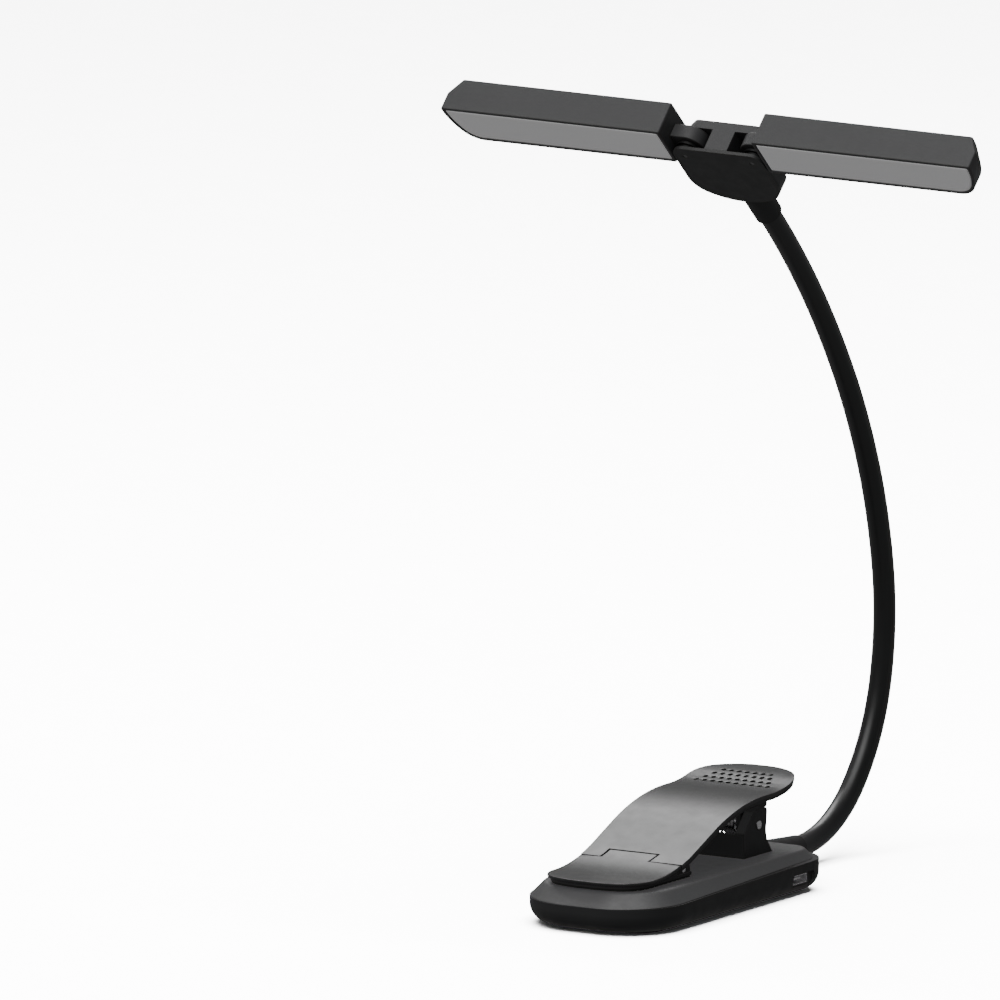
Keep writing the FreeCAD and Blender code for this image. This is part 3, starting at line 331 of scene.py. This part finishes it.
def node_finish(name: str) -> Finish:
    """Finish whose key starts a node's name, longest key first, or else the black shell finish."""
    keys = [key for key in NODE_FINISHES if name.startswith(key)]
    return NODE_FINISHES[max(keys, key=len)] if keys else SHELL_BLACK


def dress_nodes() -> None:
    """Give each CAD node its finish."""
    for name, node in frame["nodes"].items():
        node_finish(name).dress(node)


# ---------------------------------------------------------------- joints read from the record
def joint_spot(name: str) -> np.ndarray:
    """Position of a joint in millimetres."""
    found = next(joint for joint in frame["joints"] if joint["name"] == name)
    return np.array(found["pos_m"], float) / MM


def joint_axis(name: str) -> np.ndarray:
    """Unit axis of a joint."""
    found = next(joint for joint in frame["joints"] if joint["name"] == name)
    axis = np.array(found["axis"], float)
    return axis / np.linalg.norm(axis)


# ---------------------------------------------------------------- base
@dataclass
class Base:
    """Flat base: its grey bevelled cover over the black tray."""

    width: float = 60.4
    length: float = 123.2
    height: float = 15.0
    front_corner: float = 24.0
    rear_corner: float = 13.0
    seam_front: float = 9.6
    seam_rear: float = 11.9
    side_inset: float = 5.2
    front_inset: float = 6.5
    rear_inset: float = 5.0
    wall: float = 2.2
    roof: float = 1.6
    top_round: float = 0.7
    seam_round: float = 0.25
    pieces: list[bpy.types.Object] = field(default_factory=list)

    def outline(self, inset: float, lean: float) -> np.ndarray:
        """Plan loop moved in by an inset, and by a share (lean) of the front, side and rear insets."""
        front, side, rear = (lean * value for value in (self.front_inset, self.side_inset, self.rear_inset))
        half = self.width / 2 - inset - side
        low = -self.length / 2 + inset + front
        high = self.length / 2 - inset - rear
        big = self.front_corner - inset - max(front, side)
        small = max(self.rear_corner - inset - max(rear, side), 0.8)
        corners = [(-half, low, big), (half, low, big), (half, high, small), (-half, high, small)]
        return rounded_loop(corners, 18, 16)

    def cover(self) -> bpy.types.Object:
        """Shell of the cover.

        A station (s, inset, rise) gives a loop: s runs 0 to the bevel's height from the seam to the top,
        and the plan lies on the straight line between the foot outline and the top outline at the share
        that its height has reached; rise lifts it.
        """
        full = self.height - self.seam_front
        stations = np.vstack([
            [[full, self.wall + 4.0, -self.roof], [full, self.wall, -self.roof]],
            soften([[0.15, self.wall, 0.0], [0.1, 0.0, 0.0], [full, 0.0, 0.0], [full, 6.0, 0.0]],
                   [0.0, self.seam_round, self.top_round, 0.0]),
        ])
        rings = []
        for s, inset, rise in stations:
            foot = self.outline(inset, 0.0)
            top = self.outline(inset, 1.0)
            seam = self.seam_front + (self.seam_rear - self.seam_front) * (foot[:, 1] / self.length + 0.5)
            height = seam + (self.height - seam) * s / full
            share = np.clip((height - self.seam_front) / full, 0.0, 1.0)[:, None]
            plan = foot + share * (top - foot)
            rings.append(np.column_stack([plan, height + rise]))
        return skin("base_cover", np.array(rings) * MM)

    def build(self) -> list[bpy.types.Object]:
        """Make the cover in place of its CAD shell."""
        cover = self.cover()
        COVER_GREY.dress(cover)
        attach(cover, "base")
        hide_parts("base_upper_shell")
        self.pieces = [cover]
        return self.pieces


# ---------------------------------------------------------------- moulded parts with eased edges
@dataclass
class Eased:
    """Moulded parts that keep their CAD shape and get a small round on every edge, as a mould leaves it."""

    body: str
    widths: dict[str, float]
    sharp: float = 30.0
    flat: float = 0.05
    steps: int = 3
    pieces: list[bpy.types.Object] = field(default_factory=list)

    def ease(self, node: str, width: float) -> bpy.types.Object:
        """Copy of a node whose flat faces are joined and whose sharp edges turn through an arc.

        Args:
            node: name of the CAD node.
            width: distance in millimetres from the old edge to where the round starts.

        Returns:
            The new object.
        """
        work = bmesh.new()
        work.from_mesh(frame["nodes"][node].data)
        bmesh.ops.remove_doubles(work, verts=work.verts, dist=0.002 * MM)
        bmesh.ops.dissolve_limit(work, angle_limit=math.radians(self.flat), verts=work.verts,
                                 edges=work.edges)
        limit = math.radians(self.sharp)
        edges = [edge for edge in work.edges if edge.calc_face_angle(0.0) > limit]
        bmesh.ops.bevel(work, geom=edges, offset=width * MM, offset_type="OFFSET", segments=self.steps,
                        profile=0.5, affect="EDGES", clamp_overlap=True)
        bmesh.ops.triangulate(work, faces=[face for face in work.faces if len(face.verts) > 4])
        mesh = bpy.data.meshes.new(node + "_eased")
        work.to_mesh(mesh)
        work.free()
        mesh.shade_smooth()
        mesh.set_sharp_from_angle(angle=limit)
        made = bpy.data.objects.new(node + "_eased", mesh)
        bpy.context.scene.collection.objects.link(made)
        even = made.modifiers.new("even_normals", "WEIGHTED_NORMAL")
        even.keep_sharp = True
        return made

    def build(self) -> list[bpy.types.Object]:
        """Make every eased part of the body in place of its node."""
        for node, width in self.widths.items():
            made = self.ease(node, width)
            finish = node_finish(node)
            finish.dress(made)
            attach(made, self.body)
            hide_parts(node)
            self.pieces.append(made)
        return self.pieces


# ---------------------------------------------------------------- neck
@dataclass
class Neck:
    """Continuous rubber sheath, in eight lengths that each span one joint."""

    radius: float = 4.0
    bore: float = 3.3
    around: int = 40
    tuck: float = 1.6
    flex: float = 13.0
    joints: tuple[str, ...] = ("neck_bend_1", "neck_lean_1", "neck_bend_2", "neck_lean_2", "neck_bend_3",
                               "neck_lean_3", "neck_bend_4", "neck_lean_4")
    pieces: list[bpy.types.Object] = field(default_factory=list)

    def spots(self) -> np.ndarray:
        """Joint centres (y, z), one row each."""
        return np.array([joint_spot(name)[1:] for name in self.joints])

    def headings(self) -> np.ndarray:
        """Heading of the line at each joint: each link is one arc, so its chord halves its two headings."""
        chords = np.diff(self.spots(), axis=0)
        along = np.arctan2(chords[:, 1], chords[:, 0])
        found = [0.0]
        for chord in along:
            turn = (chord - found[-1] + math.pi) % (2 * math.pi) - math.pi
            found.append(found[-1] + 2 * turn)
        return np.array(found)

    def link(self, number: int, share: np.ndarray) -> tuple[np.ndarray, np.ndarray]:
        """Points and headings on link `number` at shares 0 to 1 of its arc, straight on outside the ends.

        Args:
            number: link from 0; -1 is the straight run before the first joint, 7 the run after the last.
            share: shares along the arc, or millimetres from the joint for the two straight runs.

        Returns:
            Points (n, 2) and headings (n,).
        """
        spots, turns = self.spots(), self.headings()
        if number < 0 or number >= len(spots) - 1:
            joint = 0 if number < 0 else len(spots) - 1
            heading = np.full(len(share), turns[joint])
            return spots[joint] + share[:, None] * [math.cos(turns[joint]), math.sin(turns[joint])], heading
        first, last = turns[number], turns[number + 1]
        chord = np.linalg.norm(spots[number + 1] - spots[number])
        radius = chord / (2 * math.sin(0.5 * (last - first)))
        heading = first + share * (last - first)
        move = radius * np.stack([np.sin(heading) - math.sin(first), math.cos(first) - np.cos(heading)], 1)
        return spots[number] + move, heading

    def length(self, joint: int) -> bpy.types.Object:
        """Sheath length centred on one joint.

        A circle of the outer radius is carried along the line, and one of the inner radius back along it.
        """
        count = 22
        before = np.linspace(0.5, 1.0, count) if joint else np.linspace(-self.tuck, 0, 3)
        last = joint == len(self.joints) - 1
        after = np.linspace(0, self.tuck, 3) if last else np.linspace(0.0, 0.5, count)
        before, after = self.link(joint - 1, before), self.link(joint, after)
        line = np.vstack([before[0], after[0][1:]])
        heading = np.concatenate([before[1], after[1][1:]])
        angle = np.arange(self.around) * 2 * math.pi / self.around
        up = np.stack([-np.sin(heading), np.cos(heading)], 1)
        rings = []
        for radius in (self.radius, self.bore):
            wall = np.zeros((len(line), self.around, 3))
            wall[:, :, 0] = radius * np.cos(angle)
            wall[:, :, 1:] = line[:, None] + radius * np.sin(angle)[None, :, None] * up[:, None]
            rings.append(wall if radius == self.radius else wall[::-1])
        loops = np.vstack(rings) * MM
        faces = grid_faces(len(loops), self.around, wrap_rows=True).tolist()
        return new_object("neck_rubber_%d" % (joint + 1), loops.reshape(-1, 3), faces, 50.0)

    def build(self) -> list[bpy.types.Object]:
        """Make every length across its joint and hide the CAD sheath lengths that it stands for."""
        for joint in range(len(self.joints)):
            piece = self.length(joint)
            NECK_RUBBER.dress(piece)
            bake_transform(piece)
            nodes = ["neck_sheath_%d" % number for number in (joint, joint + 1) if 1 <= number <= 7]
            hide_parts(*nodes)
            self.pieces.append(piece)
        return self.pieces


# ---------------------------------------------------------------- hub and light bars
@dataclass
class HubFrame:
    """Upright frame of the hub: x across, y from its front to its back, z up along it."""

    pin_out: float = 13.8
    pin_deep: float = 6.7
    pin_down: float = 4.6

    def place(self, spots: np.ndarray) -> np.ndarray:
        """Turn points in the hub's frame, in millimetres, into metres in the row frame."""
        back = joint_axis("fold_left")
        across = np.array([1.0, 0.0, 0.0])
        rise = np.cross(across, back)
        middle = 0.5 * (joint_spot("fold_left") + joint_spot("fold_right"))
        origin = middle - self.pin_deep * back + self.pin_down * rise
        turned = spots @ np.stack([across, back, rise])
        return (origin + turned) * MM


@dataclass
class LightBar:
    """One light bar: a shell with a bevelled back, a rim round the lens, a button dish and a hinge lug."""

    side: Side
    frame: HubFrame
    width: float = 18.0
    length: float = 90.0
    depth: float = 13.1
    bevel_start: float = 6.8
    bevel_inset: float = 4.0
    end_radius: float = 28.0
    corner: float = 9.0
    inner: float = 19.1
    rim: float = 1.1
    recess: float = 2.3
    plan_round: float = 0.7
    lens_front: float = 0.05
    lens_back: float = 2.2
    lens_round: float = 0.9
    lug_radius: float = 6.2
    lug_front: float = 4.0
    lug_back: float = 9.4
    arm_down: float = 4.4
    button_out: float = 82.0
    pieces: list[bpy.types.Object] = field(default_factory=list)

    @property
    def mate(self) -> float:
        """Height of the long straight edge that meets the other bar when both are folded."""
        return self.width - self.frame.pin_down - self.arm_down

    def outline(self, wall: float, bevel: float) -> np.ndarray:
        """Front loop (x, z): a straight mating edge, a large end arc, a tight corner arc and a lower edge.

        Args:
            wall: how far every edge is moved in.
            bevel: how far the lower edge and the end are moved in besides.

        Returns:
            Points, one row each, for the bar on the right.
        """
        soft = self.plan_round
        inner = self.inner + wall
        top = self.mate - wall
        low = self.mate - self.width + bevel + wall
        reach = self.end_radius - bevel - wall
        corner = self.corner - bevel - wall
        centre = self.inner + self.length - self.end_radius
        across = self.mate - low - corner
        knee = centre + math.sqrt((reach - corner) ** 2 - across ** 2)
        start = math.asin(-wall / reach)
        meet = math.atan2(-across, knee - centre)
        end = arc_points((centre, self.mate), reach, start - soft / reach, meet, 22)
        tight = arc_points((knee, low + corner), corner, meet, -math.pi / 2, 14)
        peak = centre + reach * math.cos(start)
        runs = [np.linspace((inner + soft, top), (peak - soft, top), 44),
                self.turn((peak - soft, top), (peak, top), end[0]), end, tight[1:],
                np.linspace((knee, low), (inner + soft, low), 44)[1:],
                self.turn((inner + soft, low), (inner, low), (inner, low + soft)),
                np.linspace((inner, low + soft), (inner, top - soft), 12),
                self.turn((inner, top - soft), (inner, top), (inner + soft, top))]
        return np.vstack(runs)

    @staticmethod
    def turn(start: Sequence[float], corner: Sequence[float], end: Sequence[float]) -> np.ndarray:
        """Inner points of the quadratic arc from start to end round a corner."""
        t = np.linspace(0, 1, 6)[1:-1, None]
        start, corner, end = (np.asarray(spot) for spot in (start, corner, end))
        return (1 - t) ** 2 * start + 2 * t * (1 - t) * corner + t ** 2 * end

    def loop3(self, flat: np.ndarray, deep: float | np.ndarray) -> np.ndarray:
        """Loop in the hub frame from points (x, z) and a depth, mirrored for the left bar."""
        return np.column_stack([flat[:, 0] * self.side.value, np.broadcast_to(deep, len(flat)), flat[:, 1]])

    @staticmethod
    def dish(centre: np.ndarray, half: tuple[float, float], corner: float, outer: np.ndarray) -> np.ndarray:
        """Rounded rectangle about a centre, met by the ray from it to each point of an outer loop.

        Along a ray at angle a the distance to a rounded rectangle is found from the straight sides, or
        from the corner circle where the ray leaves through a corner.
        """
        away = outer - centre
        ray = away / np.linalg.norm(away, axis=1, keepdims=True)
        size = np.abs(ray) + 1e-9
        flat = np.minimum(half[0] / size[:, 0], half[1] / size[:, 1])
        core = np.array([half[0] - corner, half[1] - corner])
        along = size @ core
        inside = along ** 2 - (core @ core - corner ** 2)
        round_hit = along + np.sqrt(np.maximum(inside, 0.0))
        hit = flat[:, None] * size
        in_corner = (hit[:, 0] > core[0]) & (hit[:, 1] > core[1])
        return centre + ray * np.where(in_corner, round_hit, flat)[:, None]

    def shell(self) -> bpy.types.Object:
        """Closed shell: the front recess, the rim, the side, the bevel, the flat back and the button dish."""
        back = self.depth
        stations = soften(
            [[self.rim + 6.0, 0.0, self.recess], [self.rim, 0.0, self.recess], [self.rim, 0.0, 0.0],
             [0.0, 0.0, 0.0], [0.0, 0.0, self.bevel_start], [0.0, self.bevel_inset, back],
             [0.5, self.bevel_inset, back]],
            [0.0, 0.0, 0.15, 0.35, 0.5, 0.4, 0.0])
        rings = [self.loop3(self.outline(wall, bevel), deep) for wall, bevel, deep in stations[1:]]
        flat = self.outline(0.5, self.bevel_inset)
        middle = np.array([self.button_out, 0.5 * (2 * self.mate - self.width + self.bevel_inset)])
        for half, corner, deep in (((8.4, 4.6), 3.5, 0.0), ((8.0, 4.2), 3.2, 0.15), ((7.6, 3.85), 2.7, 0.5),
                                   ((7.3, 3.55), 2.4, 0.55), ((7.3, 3.55), 2.4, 2.4)):
            rings.append(self.loop3(self.dish(middle, half, corner, flat), back - deep))
        return self.stack("head_body_", rings)

    def lug(self) -> bpy.types.Object:
        """Hinge lug: a disc about the pin with a short arm into the bar's end, its edges softened."""
        x, z = self.frame.pin_out, -self.frame.pin_down
        radius = self.lug_radius
        end = self.inner + 0.5
        rings = []
        stations = soften([[radius * 0.5, self.lug_front], [0.0, self.lug_front], [0.0, self.lug_back],
                           [radius * 0.5, self.lug_back]], [0.0, 0.4, 0.4, 0.0])
        for inset, deep in stations:
            r = radius - inset
            low = max(self.arm_down - inset, 0.3)
            touch = math.asin(-low / r) + 2 * math.pi
            disc = arc_points((x, z), r, math.pi / 2, touch, 40)
            runs = [disc, np.linspace(disc[-1], (end, z - low), 8)[1:],
                    np.linspace((end, z - low), (end, z + r), 8)[1:],
                    np.linspace((end, z + r), disc[0], 8)[1:-1]]
            rings.append(self.loop3(np.vstack(runs), deep))
        return self.stack("head_lug_", rings)

    def lens(self) -> bpy.types.Object:
        """Diffuser: a plate that fills the rim, its front edge rolled over so that it stands crowned."""
        edge = self.rim + 0.1
        stations = soften([[5.0, self.lens_back], [edge, self.lens_back], [edge, self.lens_front],
                           [5.0, self.lens_front]], [0.0, 0.1, self.lens_round, 0.0], 8)
        rings = [self.loop3(self.outline(wall, 0.0), deep) for wall, deep in stations]
        return self.stack("diffuser_lens_", rings)

    def stack(self, name: str, rings: list[np.ndarray]) -> bpy.types.Object:
        """Skin over loops given in the hub's frame, named for this side."""
        loops = np.array(rings)
        return skin(name + self.side.word, self.frame.place(loops.reshape(-1, 3)).reshape(loops.shape))

    def build(self) -> list[bpy.types.Object]:
        """Make the shell and lug in place of the CAD shell, and the lens in place of the CAD diffuser."""
        for piece, finish, node in ((self.shell(), COVER_GREY, "head_shell_"),
                                    (self.lug(), COVER_GREY, "head_shell_"),
                                    (self.lens(), DIFFUSER, "diffuser_")):
            finish.dress(piece)
            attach(piece, "head_" + self.side.word)
            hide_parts(node + self.side.word)
            self.pieces.append(piece)
        return self.pieces


# ---------------------------------------------------------------- studio
@dataclass
class Studio:
    """Pale floor and soft light, and the camera. Angles are in degrees and lengths in metres."""

    azimuth: float = 31.49
    elevation: float = 10.59
    view_width: float = 0.3521
    aim_right: float = -0.0593
    aim_up: float = 0.1432
    floor_size: float = 16.0
    surround: float = 0.24

    def camera(self) -> None:
        """Parallel camera along azimuth and elevation, aimed at a point given right and up of the origin."""
        a, e = math.radians(self.azimuth), math.radians(self.elevation)
        back = Vector((math.sin(a) * math.cos(e), -math.cos(a) * math.cos(e), math.sin(e)))
        right = Vector((math.cos(a), math.sin(a), 0.0))
        up = back.cross(right)
        data = bpy.data.cameras.new("camera")
        data.type = "ORTHO"
        data.ortho_scale = self.view_width
        data.clip_start, data.clip_end = 0.01, 20.0
        camera = bpy.data.objects.new("camera", data)
        camera.location = right * self.aim_right + up * self.aim_up + back * 1.5
        camera.rotation_mode = "QUATERNION"
        camera.rotation_quaternion = (-back).to_track_quat("-Z", "Y")
        bpy.context.scene.collection.objects.link(camera)
        bpy.context.scene.camera = camera

    def floor(self) -> bpy.types.Object:
        """Large plain floor under the lamp, which sends no light back up at it."""
        half = self.floor_size / 2
        spots = np.array([[-half, -half, 0.0], [half, -half, 0.0], [half, half, 0.0], [-half, half, 0.0]])
        floor = new_object("floor", spots, [[0, 1, 2, 3]])
        FLOOR_PAINT.dress(floor)
        floor.visible_diffuse = False
        floor.visible_glossy = False
        return floor

    def lights(self, floor: bpy.types.Object) -> None:
        """Soft boxes (name, place, size, power, shadow) in a dim surround.

        The wash lights the floor alone, and the bounce lights only the cover that lies in the clip's shade.
        """
        alone = {"wash": floor, "bounce": bpy.data.objects["base_cover"]}
        boxes = (("key", (-0.3, -1.1, 2.0), 1.9, 16.0, True), ("fill", (-0.1, -1.1, 2.0), 1.9, 29.0, False),
                 ("back", (-0.77, 0.66, 1.2), 0.8, 16.0, True), ("wash", (0.0, 0.0, 2.6), 2.4, 1300.0, True),
                 ("bounce", (0.2, 0.0, 2.2), 1.6, 40.0, False))
        for name, spot, size, power, shadow in boxes:
            data = bpy.data.lights.new(name, "AREA")
            data.shape = "SQUARE"
            data.size = size
            data.energy = power
            data.use_shadow = shadow
            light = bpy.data.objects.new(name, data)
            light.location = spot
            light.rotation_mode = "QUATERNION"
            light.rotation_quaternion = (Vector((0.0, 0.0, 0.12)) - Vector(spot)).to_track_quat("-Z", "Y")
            bpy.context.scene.collection.objects.link(light)
            if name in alone:
                only = bpy.data.collections.new(name + "_only")
                only.objects.link(alone[name])
                light.light_linking.receiver_collection = only
        world = bpy.data.worlds.new("surround")
        world.use_nodes = True
        world.node_tree.nodes["Background"].inputs["Color"].default_value = (1.0, 1.0, 1.0, 1.0)
        world.node_tree.nodes["Background"].inputs["Strength"].default_value = self.surround
        bpy.context.scene.world = world

    def build(self) -> None:
        """Make the camera, the floor and the lights."""
        self.camera()
        self.lights(self.floor())


def main() -> None:
    """Build every sub-assembly in order and report its pieces."""
    logging.basicConfig(level=logging.INFO, format="%(name)s: %(message)s")
    dress_nodes()
    hub_frame = HubFrame()
    eased = (Eased("base", {"base_lower_shell": 0.25, "clip_tower": 0.35}),
             Eased("clip", {"lever_plate": 0.4, "lever_frame": 0.3}),
             Eased("jaw", {"jaw_cap": 0.4, "jaw_carrier": 0.3}),
             # The eased hub front cover keeps the darker cover grey, which paints the shade of its
             # down-facing face.
             Eased("hub", {"hub_front_cover": 0.3, "hub_rear_shell": 0.3}))
    bars = (LightBar(Side.LEFT, hub_frame), LightBar(Side.RIGHT, hub_frame))
    for part in (Base(), Neck(), *bars, *eased):
        for piece in part.build():
            LOG.info("%s: %s, %d faces", type(part).__name__, piece.name, len(piece.data.polygons))
    Studio().build()


if __name__ == "__main__":
    main()
